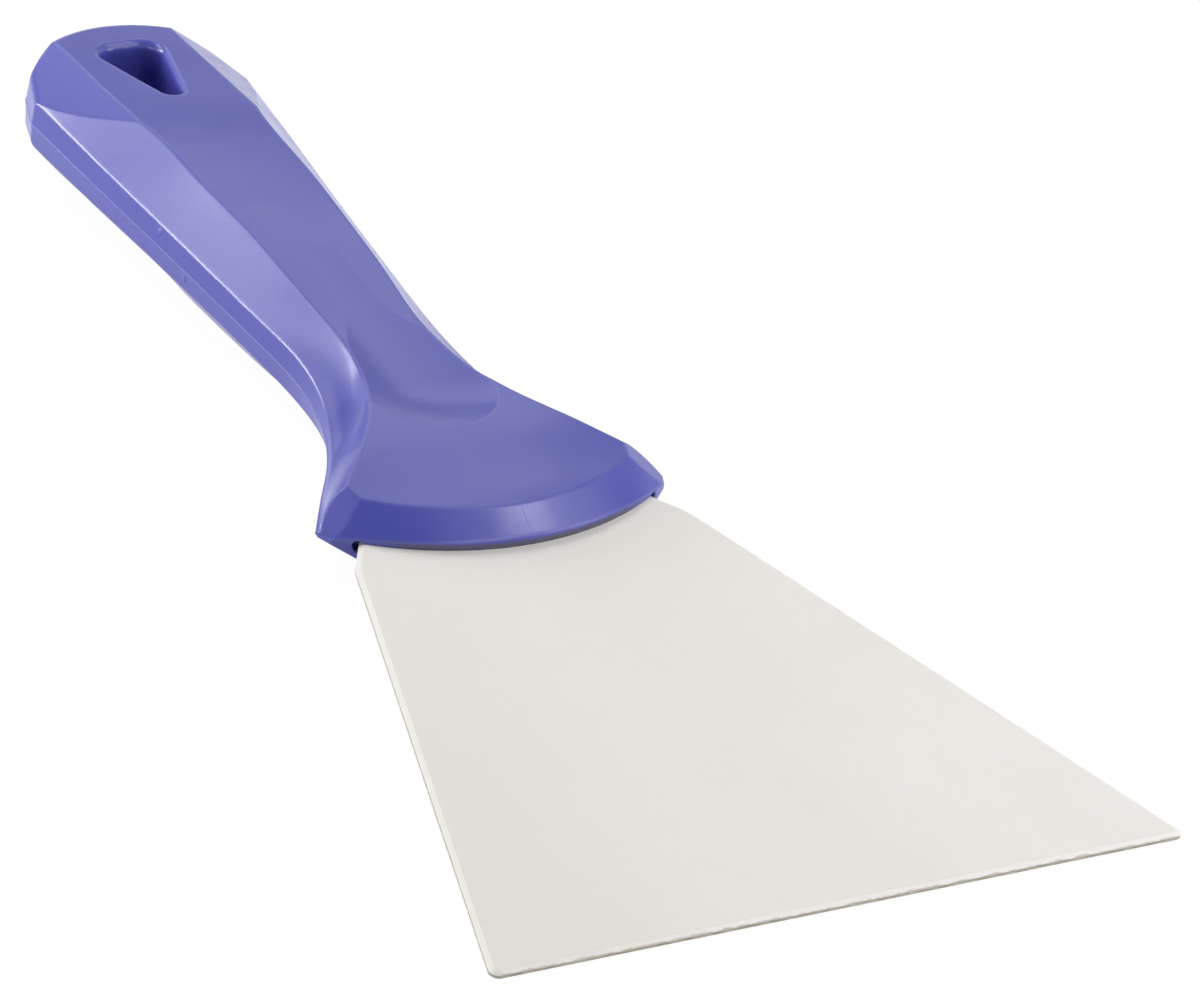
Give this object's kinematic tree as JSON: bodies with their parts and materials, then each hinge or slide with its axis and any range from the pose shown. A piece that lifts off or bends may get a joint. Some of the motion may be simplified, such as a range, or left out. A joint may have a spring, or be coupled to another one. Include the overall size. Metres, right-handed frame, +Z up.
{
  "type": "hand scraper",
  "caption": "Hand scraper with a flat flexible plastic blade moulded into a waisted, flared plastic handle with a thumb scoop on each face and a hanging hole.",
  "frame": {"origin": "on the ground, under the middle of the tool's bounding box, with the tool lying on a flat face", "axes": "+Y from the blade's working edge towards the handle's end, +Z up, +X across the blade"},
  "size_m": [0.0992, 0.2204, 0.0199],
  "materials": {
    "blade": "satin off-white nylon sheet",
    "handle": "satin blue-violet polypropylene"
  },
  "bodies": {
    "root": {"blade": "blade", "handle": "handle"}
  },
  "joints": []
}
